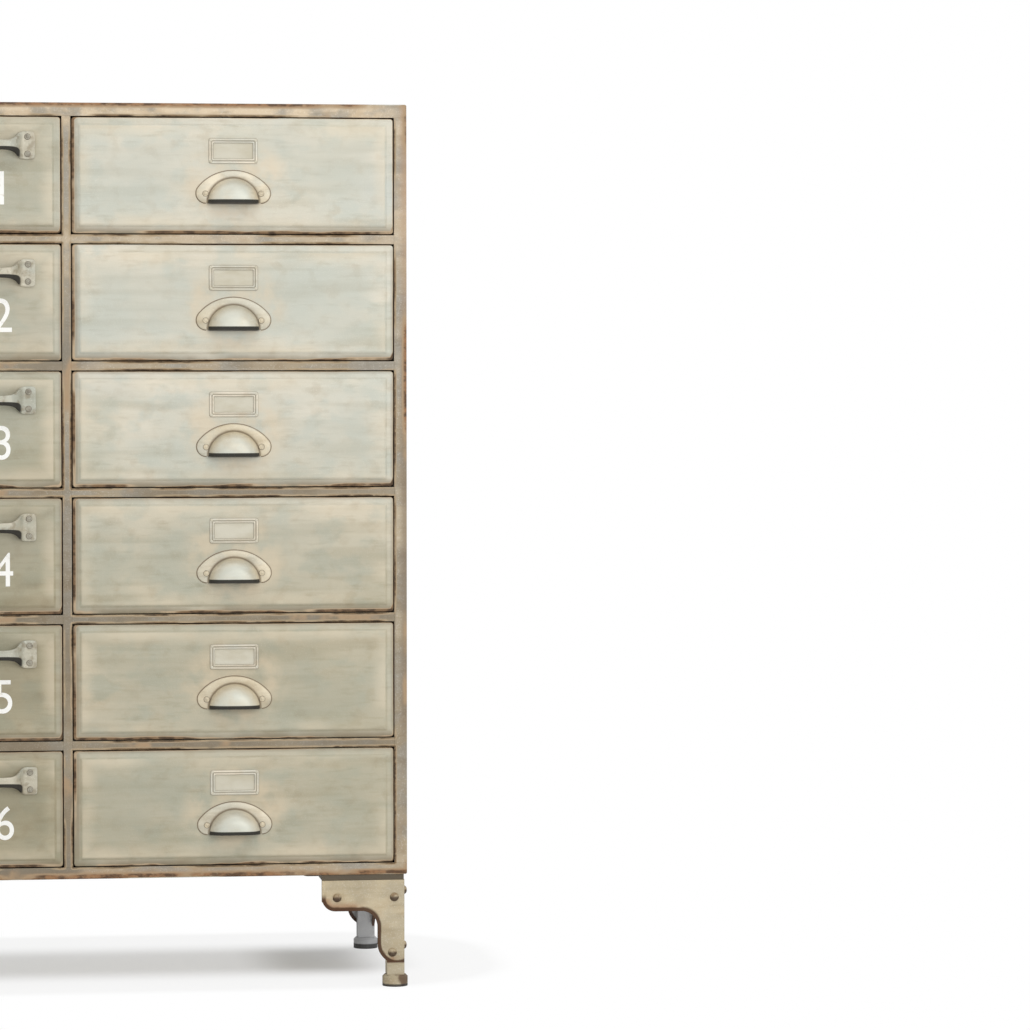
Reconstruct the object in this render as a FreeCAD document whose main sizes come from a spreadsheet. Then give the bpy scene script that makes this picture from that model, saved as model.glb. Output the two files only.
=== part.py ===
import FreeCAD, Part
import math
import os
import re
import Sketcher

# A sheet-steel cabinet of eighteen drawers on four riveted corner legs, in millimetres.
# The drawers stand in three columns: a narrow middle one with bar pulls, and a wide one on
# each side with cup pulls and label holders. +Z is up and the drawers pull out towards -Y.
# The origin lies on the floor, at the centre of the whole cabinet's footprint.

Vector = FreeCAD.Vector
document = FreeCAD.newDocument("drawer_cabinet")

ROWS = 6

# Driving sizes
SIZES = [
    # The whole cabinet
    ("cabinet_width", 1120),
    ("cabinet_depth", 420),
    ("cabinet_height", 1200),
    ("leg_height", 154),
    ("rows", ROWS),
    # The folded sheets of the carcass, and the strips of them that show round the drawers
    ("carcass_sheet", 1.5),
    ("fold_radius", 2.5),
    ("top_rail", 18),
    ("bottom_rail", 16),
    ("side_stile", 17),
    ("mid_stile", 12),
    ("rail_height", 12),
    ("rail_return", 28),
    ("stile_return", 20),
    ("rear_return", 18),
    ("middle_opening", 189),
    # A drawer's pressed front
    ("front_gap", 1.5),
    ("front_proud", 3),
    ("front_return", 14),
    ("front_sheet", 1.2),
    ("front_corner", 3),
    ("border_width", 9),
    ("border_drop", 2),
    ("border_slope", 1.5),
    # A drawer's folded tray, its turned-out rims, and the channels that carry them
    ("tray_sheet", 1.2),
    ("tray_lift", 6),
    ("tray_height", 118),
    ("tray_length", 368),
    ("skin_inset", 1),
    ("rim_width", 10),
    ("rim_drop", 8),
    ("rim_clearance", 1),
    ("runner_width", 9),
    ("runner_play", 0.3),
    ("runner_setback", 3),
    # The cup pull
    ("cup_drop", 120),
    ("cup_width", 100),
    ("cup_arch", 57),
    ("cup_ear", 18),
    ("cup_snip", 5),
    ("cup_plate", 1.8),
    ("cup_wall", 1.6),
    ("cup_radius", 34.5),
    ("cup_face", 24),
    ("cup_reach", 20),
    # The label holder
    ("label_drop", 46),
    ("label_width", 65),
    ("label_height", 33),
    ("label_rim", 6),
    ("label_corner", 2),
    ("label_thickness", 2.6),
    ("card_slot", 1),
    ("card_margin", 3),
    # The bar pull
    ("bar_drop", 40),
    ("bar_width", 118),
    ("bar_reach", 25),
    ("bar_height", 13),
    ("bar_strap", 4),
    ("bar_bend", 10),
    ("bar_foot_width", 23),
    ("bar_foot_height", 38),
    ("bar_foot_corner", 4),
    # The corner leg
    ("leg_inset", 3),
    ("arm_length", 113),
    ("arm_depth", 42),
    ("arm_end_radius", 18),
    ("arm_throat_radius", 22),
    ("stem_width", 37),
    ("curl_radius", 28),
    ("curl_height", 59),
    ("wing_thickness", 4),
    ("wing_corner", 3),
    ("post_size", 20),
    ("plate_thickness", 8),
    ("plate_setback", 1),
    ("tab_width", 22),
    ("tab_drop", 30),
    ("foot_radius", 17.3),
    ("foot_height", 16),
    ("foot_shoulder", 3),
]

# Places and sizes that follow from them
PLACES = [
    # How far the pulls stand out in front and the feet behind, which centre the footprint
    ("pull_reach", "max(cup_reach; bar_reach)"),
    ("ankle_width", "wing_thickness + post_size"),
    ("foot_overhang", "max(foot_radius - ankle_width / 2 - leg_inset; 0)"),
    ("back_face", "(cabinet_depth + front_proud + pull_reach - foot_overhang) / 2"),
    ("front_face", "back_face - cabinet_depth"),
    # The grid of openings
    ("frame_height", "cabinet_height - leg_height - top_rail - bottom_rail"),
    ("opening_height", "(frame_height - (rows - 1) * rail_height) / rows"),
    ("row_pitch", "opening_height + rail_height"),
    ("top_opening", "cabinet_height - top_rail - opening_height"),
    ("side_opening", "(cabinet_width - middle_opening) / 2 - mid_stile - side_stile"),
    ("side_column", "(middle_opening + side_opening) / 2 + mid_stile"),
    ("partition_place", "(middle_opening + mid_stile) / 2"),
    # Heights and depths in a drawer, from the lower front edge of its opening
    ("border_stand", "front_proud - border_drop"),
    ("rim_top", "tray_lift + tray_height"),
    ("lip_foot", "rim_top - rim_drop"),
    ("tray_end", "front_return + tray_length"),
    ("runner_floor", "lip_foot - runner_play"),
    ("runner_roof", "rim_top + runner_play"),
    ("runner_start", "stile_return + runner_setback"),
    ("runner_end", "tray_end + runner_play"),
    ("side_pack", "side_stile - carcass_sheet"),
    ("ear_snip", "cup_width / 2 - cup_snip"),
    # The bar pull: the outer face of its upright strap, and half heights of its bar and feet
    ("bar_upright", "bar_width / 2 - bar_foot_width + bar_strap"),
    ("bar_half", "bar_height / 2"),
    ("foot_half", "bar_foot_height / 2"),
    ("flare", "foot_half - bar_half"),
    # Heights on a leg, from the floor
    ("wing_top", "leg_height - plate_thickness"),
    ("arm_foot", "wing_top - arm_depth"),
    ("curl_foot", "curl_height - sqrt(curl_radius ^ 2 - (curl_radius - stem_width + ankle_width) ^ 2)"),
]

sheet_of = {name: "Sizes" for name, value in SIZES}
sheet_of.update({name: "Places" for name, formula in PLACES})


def bound(formula):
    """The formula with every name in it pointing at its cell."""
    return re.sub(r"[a-z_]+(?![a-z_]*\()", lambda word: sheet_of[word[0]] + "." + word[0], formula)


def fill(title, rows):
    """A spreadsheet with one named cell to a row."""
    sheet = document.addObject("Spreadsheet::Sheet", title)
    for row, (name, content) in enumerate(rows, start=1):
        sheet.set(f"A{row}", name)
        sheet.set(f"B{row}", content)
        sheet.setAlias(f"B{row}", name)
    document.recompute()
    return sheet


sizes = fill("Sizes", [(name, str(value)) for name, value in SIZES])
fill("Places", [(name, "=" + bound(formula)) for name, formula in PLACES])


def measure(formula):
    return float(sizes.evalExpression(bound(formula)))


def bind(item, **formulas):
    """Ties properties of an object to formulas. A double underscore stands for a dot."""
    for name, formula in formulas.items():
        item.setExpression(name.replace("__", "."), bound(formula))


def place(item, x="0", y="0", z="0"):
    bind(item, Placement__Base__x=x, Placement__Base__y=y, Placement__Base__z=z)
    return item


def sketch(body, plane, outline, lift="0"):
    """A closed outline on one of the body's own planes, lifted off it along its normal.

    Each corner of the outline is a pair of formulas. A third one is the radius of the arc
    that leads to the next corner, after a + where it turns left and a - where it turns right.
    """
    drawn = body.newObject("Sketcher::SketchObject", body.Name + "_sketch")
    drawn.AttachmentSupport = [(next(o for o in body.Origin.OriginFeatures if o.Role == plane), "")]
    drawn.MapMode = "FlatFace"
    bind(drawn, AttachmentOffset__Base__z=lift)
    corners = [Vector(measure(corner[0]), measure(corner[1]), 0) for corner in outline]
    for index, corner in enumerate(outline):
        start = corners[index]
        end = corners[(index + 1) % len(corners)]
        if len(corner) == 2:
            drawn.addGeometry(Part.LineSegment(start, end))
            continue
        half = (end - start) * 0.5
        outward = Vector(half.y, -half.x, 0).normalize() * (1 if corner[2][0] == "+" else -1)
        radius = measure(corner[2][1:])
        bulge = radius - math.sqrt(max(radius**2 - half.Length**2, 0))
        drawn.addGeometry(Part.Arc(start, start + half + outward * bulge, end))
        tie = drawn.addConstraint(Sketcher.Constraint("Radius", index, radius))
        bind(drawn, **{f"Constraints[{tie}]": corner[2][1:]})
    ends = [
        1 if drawn.getPoint(index, 1).distanceToPoint(corner) < 1e-6 else 2
        for index, corner in enumerate(corners)
    ]
    for index, corner in enumerate(outline):
        before = index - 1 if index else len(outline) - 1
        rule = Sketcher.Constraint("Coincident", before, 3 - ends[before], index, ends[index])
        drawn.addConstraint(rule)
        for axis, formula, level in (("DistanceX", corner[0], -2), ("DistanceY", corner[1], -1)):
            if formula == "0":
                rule = Sketcher.Constraint("PointOnObject", index, ends[index], level)
                drawn.addConstraint(rule)
                continue
            rule = Sketcher.Constraint(axis, -1, 1, index, ends[index], measure(formula))
            tie = drawn.addConstraint(rule)
            bind(drawn, **{f"Constraints[{tie}]": formula})
    document.recompute()
    return drawn


def rectangle(left, right, low, high):
    return [(left, low), (right, low), (right, high), (left, high)]


def new_body(name):
    return document.addObject("PartDesign::Body", name)


def feature(body, kind, drawn, reversed_way=False, symmetric=False, **formulas):
    """A pad, pocket or revolution of one sketch, with its lengths tied to formulas."""
    item = body.newObject("PartDesign::" + kind, body.Name + "_" + kind.lower())
    item.Profile = drawn
    item.Reversed = reversed_way
    if symmetric:
        item.Midplane = True
    bind(item, **formulas)
    document.recompute()
    return item


def trim_edges(body, kind, radius, chosen):
    """Rounds or chamfers every edge of the body that the test picks."""
    names = [f"Edge{n}" for n, edge in enumerate(body.Shape.Edges, start=1) if chosen(edge.BoundBox)]
    whole = body.Tip
    item = body.newObject("PartDesign::" + kind, body.Name + "_" + kind.lower())
    item.Base = (whole, names)
    bind(item, **{"Radius" if kind == "Fillet" else "Size": radius})
    document.recompute()


def hollow_out(body, sheet, join, chosen):
    """Leaves a shell of the given thickness, open at the face that the test picks."""
    names = [f"Face{n}" for n, face in enumerate(body.Shape.Faces, start=1) if chosen(face.BoundBox)]
    whole = body.Tip
    item = body.newObject("PartDesign::Thickness", body.Name + "_shell")
    item.Base = (whole, names)
    item.Reversed = True
    item.Join = join
    bind(item, Value=sheet)
    document.recompute()


def group(name, pieces):
    """Several placed solids under one name."""
    item = document.addObject("Part::Compound", name)
    item.Links = pieces
    return item


def mirrored(name, source, normal):
    item = document.addObject("Part::Mirroring", name)
    item.Source = source
    item.Normal = normal
    return item


nodes = []


def node(name, item):
    """Gives a finished sub-part the name that its file takes."""
    item.Label = name
    nodes.append(item)
    return item


def level(box, axis, place):
    """Whether a box is flat along the axis and lies at the place."""
    low = getattr(box, axis + "Min")
    high = getattr(box, axis + "Max")
    return abs(low - place) < 1e-4 and abs(high - place) < 1e-4


# The lid and the base are shallow trays, folded from one sheet each: the lid's skirt is the
# rail over the drawers, and the base's upstand is the rail under them.
def folded_tray(name, height, opens_up):
    tray = new_body(name)
    outline = rectangle("-cabinet_width / 2", "cabinet_width / 2", "0", "cabinet_depth")
    feature(tray, "Pad", sketch(tray, "XY_Plane", outline), Length=height)
    fold, mouth = (0, measure(height)) if opens_up else (measure(height), 0)
    trim_edges(tray, "Fillet", "fold_radius", lambda box: level(box, "Z", fold))
    hollow_out(tray, "carcass_sheet", "Arc", lambda box: level(box, "Z", mouth))
    return tray


lid = folded_tray("lid", "top_rail", opens_up=False)
node("top_panel", place(group("lid_laid", [lid]), y="front_face", z="cabinet_height - top_rail"))
base = folded_tray("base", "bottom_rail", opens_up=True)
node("bottom_panel", place(group("base_laid", [base]), y="front_face", z="leg_height"))

# Each side panel is one sheet, folded in at the front to make the stile and its return, and
# at the back to take the back sheet. It stands between the lid's skirt and the base's upstand.
side = new_body("side")
side_section = [
    ("cabinet_width / 2", "0"),
    ("cabinet_width / 2", "cabinet_depth"),
    ("cabinet_width / 2 - rear_return", "cabinet_depth"),
    ("cabinet_width / 2 - rear_return", "cabinet_depth - carcass_sheet"),
    ("cabinet_width / 2 - carcass_sheet", "cabinet_depth - carcass_sheet"),
    ("cabinet_width / 2 - carcass_sheet", "carcass_sheet"),
    ("cabinet_width / 2 - side_stile + carcass_sheet", "carcass_sheet"),
    ("cabinet_width / 2 - side_stile + carcass_sheet", "stile_return"),
    ("cabinet_width / 2 - side_stile", "stile_return"),
    ("cabinet_width / 2 - side_stile", "0"),
]
feature(side, "Pad", sketch(side, "XY_Plane", side_section), Length="frame_height")
for name, sheet in (("right", side), ("left", mirrored("side_mirrored", side, Vector(1, 0, 0)))):
    stood = place(group("side_" + name, [sheet]), y="front_face", z="leg_height + bottom_rail")
    node("side_panel_" + name, stood)

# The back is a flat sheet inside the rear folds of the sides, the lid and the base. It ends
# where the bends of the lid and the base begin.
back = new_body("back")
back_outline = rectangle(
    "carcass_sheet - cabinet_width / 2",
    "cabinet_width / 2 - carcass_sheet",
    "leg_height + fold_radius",
    "cabinet_height - fold_radius",
)
feature(back, "Pad", sketch(back, "XZ_Plane", back_outline), Length="carcass_sheet")
node("back_panel", place(back, y="back_face - carcass_sheet"))

# Two partitions, each a sheet folded into a deep narrow U whose front is the middle stile.
partition = new_body("partition")
partition_section = [
    ("-mid_stile / 2", "0"),
    ("mid_stile / 2", "0"),
    ("mid_stile / 2", "cabinet_depth - 2 * carcass_sheet"),
    ("mid_stile / 2 - carcass_sheet", "cabinet_depth - 2 * carcass_sheet"),
    ("mid_stile / 2 - carcass_sheet", "carcass_sheet"),
    ("carcass_sheet - mid_stile / 2", "carcass_sheet"),
    ("carcass_sheet - mid_stile / 2", "cabinet_depth - 2 * carcass_sheet"),
    ("-mid_stile / 2", "cabinet_depth - 2 * carcass_sheet"),
]
feature(partition, "Pad", sketch(partition, "XY_Plane", partition_section), Length="frame_height")


def stand_partition(way):
    stood = group("partition_stood", [partition])
    return place(stood, x=f"{way} * partition_place", y="front_face", z="leg_height + bottom_rail")


node("partitions", group("partition_pair", [stand_partition(-1), stand_partition(1)]))

# The columns of openings: name, width of the opening, and the place of its centre line
COLUMNS = [
    ("left", "side_opening", "-side_column"),
    ("middle", "middle_opening", "0"),
    ("right", "side_opening", "side_column"),
]


def opening_foot(row):
    """Height of an opening's lower edge, counting rows from the top."""
    return f"top_opening - {row - 1} * row_pitch"


# Between the openings of a column lie folded channels, open at the back.
def cross_rail(name, width):
    rail = new_body(name)
    section = [
        ("0", "0"),
        ("rail_return", "0"),
        ("rail_return", "carcass_sheet"),
        ("carcass_sheet", "carcass_sheet"),
        ("carcass_sheet", "rail_height - carcass_sheet"),
        ("rail_return", "rail_height - carcass_sheet"),
        ("rail_return", "rail_height"),
        ("0", "rail_height"),
    ]
    feature(rail, "Pad", sketch(rail, "YZ_Plane", section), symmetric=True, Length=width)
    return rail


rails = {width: cross_rail("rail_" + width, width) for width in ("side_opening", "middle_opening")}
laid_rails = []
for column, width, centre in COLUMNS:
    for row in range(1, ROWS):
        laid = group(f"rail_{column}_{row}", [rails[width]])
        height = opening_foot(row) + " - rail_height"
        laid_rails.append(place(laid, x=centre, y="front_face", z=height))
node("cross_rails", group("rail_set", laid_rails))


# A runner is a channel that holds a drawer's turned-out rim. Its web lies on the wall beside
# the opening, and its closed rear end is the stop that the rim meets.
def runner(name, wall):
    channel = new_body(name)
    section = [
        ("-runner_width", "runner_floor - carcass_sheet"),
        (wall, "runner_floor - carcass_sheet"),
        (wall, "runner_roof + carcass_sheet"),
        ("-runner_width", "runner_roof + carcass_sheet"),
        ("-runner_width", "runner_roof"),
        (f"{wall} - carcass_sheet", "runner_roof"),
        (f"{wall} - carcass_sheet", "runner_floor"),
        ("-runner_width", "runner_floor"),
    ]
    drawn = sketch(channel, "XZ_Plane", section, lift="-runner_start")
    feature(channel, "Pad", drawn, reversed_way=True, Length="runner_end - runner_start")
    stop = rectangle(
        "-runner_width", wall, "runner_floor - carcass_sheet", "runner_roof + carcass_sheet"
    )
    drawn = sketch(channel, "XZ_Plane", stop, lift="-runner_end")
    feature(channel, "Pad", drawn, reversed_way=True, Length="carcass_sheet")
    return channel


# On a partition the wall is the opening's own edge. The side panel lies further out, behind
# its stile, so its runners are deeper.
at_partition = runner("runner_partition", "0")
at_side = runner("runner_side", "side_pack")
runners = {
    ("partition", 1): at_partition,
    ("partition", -1): mirrored("runner_partition_mirrored", at_partition, Vector(1, 0, 0)),
    ("side", 1): at_side,
    ("side", -1): mirrored("runner_side_mirrored", at_side, Vector(1, 0, 0)),
}
WALLS = {
    "left": [("side", -1), ("partition", 1)],
    "middle": [("partition", -1), ("partition", 1)],
    "right": [("partition", -1), ("side", 1)],
}
laid_runners = []
for column, width, centre in COLUMNS:
    for row in range(1, ROWS + 1):
        for wall, way in WALLS[column]:
            laid = group(f"runner_{column}_{row}", [runners[wall, way]])
            edge = f"{centre} + {way} * {width} / 2"
            laid_runners.append(place(laid, x=edge, y="front_face", z=opening_foot(row)))
node("drawer_runners", group("runner_set", laid_runners))


# A drawer's front is a pressed pan: a flat field, raised from a narrow border by a slope, and
# returns folded back all round.
def drawer_front(width):
    front = new_body("front_" + width)

    def inset(by, lift):
        half = f"({width} / 2 - ({by}))"
        outline = rectangle("-" + half, half, by, f"opening_height - ({by})")
        return sketch(front, "XZ_Plane", outline, lift)

    feature(front, "Pad", inset("front_gap", "0"), Length="front_return + border_stand")
    returns = measure("front_return + border_stand")
    trim_edges(front, "Chamfer", "front_corner", lambda box: abs(box.YLength - returns) < 1e-4)
    raised = front.newObject("PartDesign::AdditiveLoft", front.Name + "_field")
    raised.Profile = inset("front_gap + border_width", "front_return + border_stand")
    slope_head = "front_gap + border_width + border_slope"
    raised.Sections = [inset(slope_head, "front_return + front_proud")]
    document.recompute()
    hollow_out(front, "front_sheet", "Intersection", lambda box: level(box, "Y", 0))
    return place(group(front.Name + "_placed", [front]), y="front_return")


# The tray is folded with its rims turned out and down, to ride in the runners. Its front
# skin closes the hollow of the pressed front, and its end wall is set in between the sides.
def drawer_tray(width):
    tray = new_body("tray_" + width)
    rim = f"({width} / 2 - carcass_sheet - rim_clearance)"
    wall = f"({rim} - rim_width)"
    half = [
        (wall, "tray_lift"),
        (wall, "rim_top - tray_sheet"),
        (f"{rim} - tray_sheet", "rim_top - tray_sheet"),
        (f"{rim} - tray_sheet", "lip_foot"),
        (rim, "lip_foot"),
        (rim, "rim_top"),
        (f"{wall} - tray_sheet", "rim_top"),
        (f"{wall} - tray_sheet", "tray_lift + tray_sheet"),
    ]
    section = half + [(f"-({across})", up) for across, up in reversed(half)]
    sides = sketch(tray, "XZ_Plane", section, lift="-front_return")
    feature(tray, "Pad", sides, reversed_way=True, Length="tray_length")
    edge = "(front_gap + skin_inset)"
    half_skin = f"({width} / 2 - {edge})"
    skin = rectangle("-" + half_skin, half_skin, edge, f"opening_height - {edge}")
    drawn = sketch(tray, "XZ_Plane", skin, lift="-front_return")
    feature(tray, "Pad", drawn, reversed_way=True, Length="tray_sheet")
    end = rectangle(f"-{wall}", wall, "tray_lift", "rim_top - tray_sheet")
    drawn = sketch(tray, "XZ_Plane", end, lift="-tray_end")
    feature(tray, "Pad", drawn, Length="tray_sheet")
    return tray


# The cup pull is pressed from one sheet: a flat arched flange with an ear at each end for its
# rivet, and a half dome that is open below, where the fingers reach in behind it.
cup = new_body("cup")
flange = [
    ("-ear_snip", "0"),
    ("ear_snip", "0"),
    ("cup_width / 2", "cup_snip"),
    ("cup_width / 2", "cup_ear", "+cup_arch"),
    ("-cup_width / 2", "cup_ear"),
    ("-cup_width / 2", "cup_snip"),
]
feature(cup, "Pad", sketch(cup, "XZ_Plane", flange), Length="cup_plate")
dome = [
    ("0", "0"),
    ("cup_radius", "0"),
    ("cup_face", "-cup_reach"),
    ("0", "-cup_reach"),
]
hollow = [
    ("0", "0"),
    ("cup_radius - cup_wall", "0"),
    ("cup_face - cup_wall", "cup_wall - cup_reach"),
    ("0", "cup_wall - cup_reach"),
]
for kind, profile in (("Revolution", dome), ("Groove", hollow)):
    turned = cup.newObject("PartDesign::" + kind, "cup_" + kind.lower())
    turned.Profile = sketch(cup, "XY_Plane", profile)
    turned.ReferenceAxis = (next(o for o in cup.Origin.OriginFeatures if o.Role == "Y_Axis"), [""])
    turned.Angle = 180
    turned.Reversed = True
    document.recompute()

# The label holder is a frame with snipped corners. A card slides down behind it from above.
holder = new_body("holder")
frame = rectangle("-label_width / 2", "label_width / 2", "-label_height / 2", "label_height / 2")
feature(holder, "Pad", sketch(holder, "XZ_Plane", frame), Length="label_thickness")
thickness = measure("label_thickness")
trim_edges(holder, "Chamfer", "label_corner", lambda box: abs(box.YLength - thickness) < 1e-4)
window = rectangle(
    "label_rim - label_width / 2",
    "label_width / 2 - label_rim",
    "label_rim - label_height / 2",
    "label_height / 2 - label_rim",
)
drawn = sketch(holder, "XZ_Plane", window)
feature(holder, "Pocket", drawn, reversed_way=True, Length="label_thickness")
slot = rectangle(
    "card_margin - label_width / 2",
    "label_width / 2 - card_margin",
    "card_margin - label_height / 2",
    "label_height / 2",
)
feature(holder, "Pocket", sketch(holder, "XZ_Plane", slot), reversed_way=True, Length="card_slot")

# The bar pull is a strap bent out from one foot and back to the other, and cut away above and
# below so that it flares from a narrow bar into two tall feet.
bar = new_body("bar")
bend = "bar_reach - bar_bend"
inner = "bar_upright - bar_strap"
inner_reach = "bar_reach - bar_strap"
strap = [
    ("bar_width / 2", "0"),
    ("bar_width / 2", "-bar_strap"),
    ("bar_upright", "-bar_strap"),
    ("bar_upright", f"-({bend})"),
    ("bar_upright - bar_bend", "-bar_reach"),
    ("bar_bend - bar_upright", "-bar_reach"),
    ("-bar_upright", f"-({bend})"),
    ("-bar_upright", "-bar_strap"),
    ("-bar_width / 2", "-bar_strap"),
    ("-bar_width / 2", "0"),
    (f"-({inner})", "0"),
    (f"-({inner})", f"-({bend})"),
    ("bar_bend - bar_upright", f"-({inner_reach})"),
    ("bar_upright - bar_bend", f"-({inner_reach})"),
    (inner, f"-({bend})"),
    (inner, "0"),
]
drawn = sketch(bar, "XY_Plane", strap, lift="-foot_half")
feature(bar, "Pad", drawn, Length="bar_foot_height")
for way in (1, -1):
    cut = [
        ("-bar_upright", f"{way} * foot_half"),
        ("flare - bar_upright", f"{way} * bar_half"),
        ("bar_upright - flare", f"{way} * bar_half"),
        ("bar_upright", f"{way} * foot_half"),
    ]
    feature(bar, "Pocket", sketch(bar, "XZ_Plane", cut), reversed_way=True, Length="bar_reach")
strap_thickness = measure("bar_strap")
end = measure("bar_width") / 2


def at_foot_corner(box):
    across = abs(box.YLength - strap_thickness) < 1e-4
    return across and (level(box, "X", end) or level(box, "X", -end))


trim_edges(bar, "Chamfer", "bar_foot_corner", at_foot_corner)


def on_front(piece, drop):
    """A fitting in its place on a drawer's raised field."""
    fixed = group(piece.Name + "_fixed", [piece])
    return place(fixed, y="-front_proud", z=f"opening_height - {drop}")


# Every drawer has a front with its pull riveted on, and a tray. The wide ones also have a
# label holder.
DRAWER_PIECES = {
    "side_opening": {
        "drawer_front": [drawer_front("side_opening"), on_front(cup, "cup_drop")],
        "drawer_tray": [drawer_tray("side_opening")],
        "label_holder": [on_front(holder, "label_drop")],
    },
    "middle_opening": {
        "drawer_front": [drawer_front("middle_opening"), on_front(bar, "bar_drop")],
        "drawer_tray": [drawer_tray("middle_opening")],
    },
}
for column, width, centre in COLUMNS:
    for kind, pieces in DRAWER_PIECES[width].items():
        for row in range(1, ROWS + 1):
            placed = group(f"{kind}_in_{column}_{row}", pieces)
            place(placed, x=centre, y="front_face", z=opening_foot(row))
            node(f"{kind}_{column}_{row}", placed)

# A corner leg is modelled as the one at the front right. The outer corner of its bracket is on
# the Z axis, and it reaches inwards along -X and back along +Y.
#
# The bracket is a pressed angle. Each wing has a broad arm under the cabinet, a stem that
# curls out of it, and a narrow ankle over the foot.
bracket = new_body("bracket")
for plane, side_of in (("XZ_Plane", "-"), ("YZ_Plane", "")):
    turn = {"-": ("-", "+"), "": ("+", "-")}[side_of]
    wing = [
        ("0", "foot_height"),
        (f"{side_of}ankle_width", "foot_height"),
        (f"{side_of}ankle_width", "curl_foot", turn[0] + "curl_radius"),
        (f"{side_of}stem_width", "curl_height"),
        (f"{side_of}stem_width", "arm_foot - arm_throat_radius", turn[1] + "arm_throat_radius"),
        (f"{side_of}(stem_width + arm_throat_radius)", "arm_foot"),
        (f"{side_of}(arm_length - arm_end_radius)", "arm_foot", turn[0] + "arm_end_radius"),
        (f"{side_of}arm_length", "arm_foot + arm_end_radius"),
        (f"{side_of}arm_length", "wing_top"),
        ("0", "wing_top"),
    ]
    drawn = sketch(bracket, plane, wing)
    feature(bracket, "Pad", drawn, reversed_way=True, Length="wing_thickness")


def at_corner(box):
    return level(box, "X", 0) and level(box, "Y", 0)


trim_edges(bracket, "Fillet", "wing_corner", at_corner)

# A square post stands inside the angle and carries a plate under the cabinet. Two tabs are
# bent down from the plate behind the ends of the arms.
post = new_body("post")
post_section = rectangle("-ankle_width", "-wing_thickness", "wing_thickness", "ankle_width")
drawn = sketch(post, "XY_Plane", post_section, lift="foot_height")
feature(post, "Pad", drawn, Length="wing_top - foot_height")
plate_section = rectangle("-arm_length", "-plate_setback", "plate_setback", "arm_length")
drawn = sketch(post, "XY_Plane", plate_section, lift="wing_top")
feature(post, "Pad", drawn, Length="plate_thickness")
tab_root = "arm_length - tab_width"
tabs = [
    rectangle("-arm_length", f"-({tab_root})", "wing_thickness", "2 * wing_thickness"),
    rectangle("-2 * wing_thickness", "-wing_thickness", tab_root, "arm_length"),
]
for tab in tabs:
    drawn = sketch(post, "XY_Plane", tab, lift="wing_top - tab_drop")
    feature(post, "Pad", drawn, Length="tab_drop")

# The foot is turned, with a bevelled shoulder, under the ankle's middle.
foot = new_body("foot")
foot_profile = [
    ("0", "0"),
    ("foot_radius", "0"),
    ("foot_radius", "foot_height - foot_shoulder"),
    ("foot_radius - foot_shoulder", "foot_height"),
    ("0", "foot_height"),
]
turned = foot.newObject("PartDesign::Revolution", "foot_revolution")
turned.Profile = sketch(foot, "XZ_Plane", foot_profile)
turned.ReferenceAxis = (next(o for o in foot.Origin.OriginFeatures if o.Role == "Z_Axis"), [""])
turned.Angle = 360
document.recompute()
foot_placed = place(group("foot_placed", [foot]), x="-ankle_width / 2", y="ankle_width / 2")

# The four legs mirror each other across the cabinet's middle planes.
LEG_PIECES = [
    ("leg_brackets", [bracket]),
    ("leg_posts", [post]),
    ("leg_feet", [foot_placed]),
]
for name, pieces in LEG_PIECES:
    front_right = group(name + "_one", pieces)
    place(front_right, x="cabinet_width / 2 - leg_inset", y="leg_inset - cabinet_depth / 2")
    front_left = mirrored(name + "_left", front_right, Vector(1, 0, 0))
    front_pair = group(name + "_pair", [front_right, front_left])
    rear_pair = mirrored(name + "_rear", front_pair, Vector(0, 1, 0))
    four = group(name + "_four", [front_pair, rear_pair])
    node(name, place(four, y="(front_face + back_face) / 2"))

document.recompute()
for item in document.Objects:
    if "Invalid" in item.State or "Error" in item.State:
        raise SystemExit(item.Label + " could not be built")
for item in nodes:
    if item.Shape.isNull() or not item.Shape.isValid():
        raise SystemExit(item.Label + " has no sound solid")
os.makedirs("parts", exist_ok=True)
for item in nodes:
    item.Shape.exportStep(f"parts/{item.Label}.step")
print(len(nodes), "sub-parts")
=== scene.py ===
import math

import bpy
from mathutils import Matrix, Vector


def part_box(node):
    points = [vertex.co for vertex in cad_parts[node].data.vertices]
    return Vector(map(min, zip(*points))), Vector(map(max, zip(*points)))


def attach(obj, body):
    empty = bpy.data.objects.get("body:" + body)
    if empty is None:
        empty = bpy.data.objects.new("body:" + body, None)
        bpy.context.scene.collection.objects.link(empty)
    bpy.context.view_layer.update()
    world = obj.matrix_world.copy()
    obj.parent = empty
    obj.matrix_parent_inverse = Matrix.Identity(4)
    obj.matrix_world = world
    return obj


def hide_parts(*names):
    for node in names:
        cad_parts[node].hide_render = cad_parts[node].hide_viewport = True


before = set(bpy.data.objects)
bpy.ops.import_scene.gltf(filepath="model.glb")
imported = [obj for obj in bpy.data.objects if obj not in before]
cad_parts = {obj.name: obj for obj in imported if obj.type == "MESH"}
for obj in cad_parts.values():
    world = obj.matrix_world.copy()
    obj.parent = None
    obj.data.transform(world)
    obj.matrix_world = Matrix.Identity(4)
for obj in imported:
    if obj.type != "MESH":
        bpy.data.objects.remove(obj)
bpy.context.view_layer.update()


# The lid, base, sides, partitions and cross rails are folded from sheet steel, closed by a flat
# back sheet and painted once they are joined. The paint has clouded from greige to cool grey
# and cream. It is rubbed and rusted along the folds and round the drawer openings.
mm = 0.001


def card(red, green, blue):
    """A colour read off a printed card, 0 to 255, as light."""
    return tuple(((part / 255 + 0.055) / 1.055) ** 2.4 for part in (red, green, blue)) + (1.0,)


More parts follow.
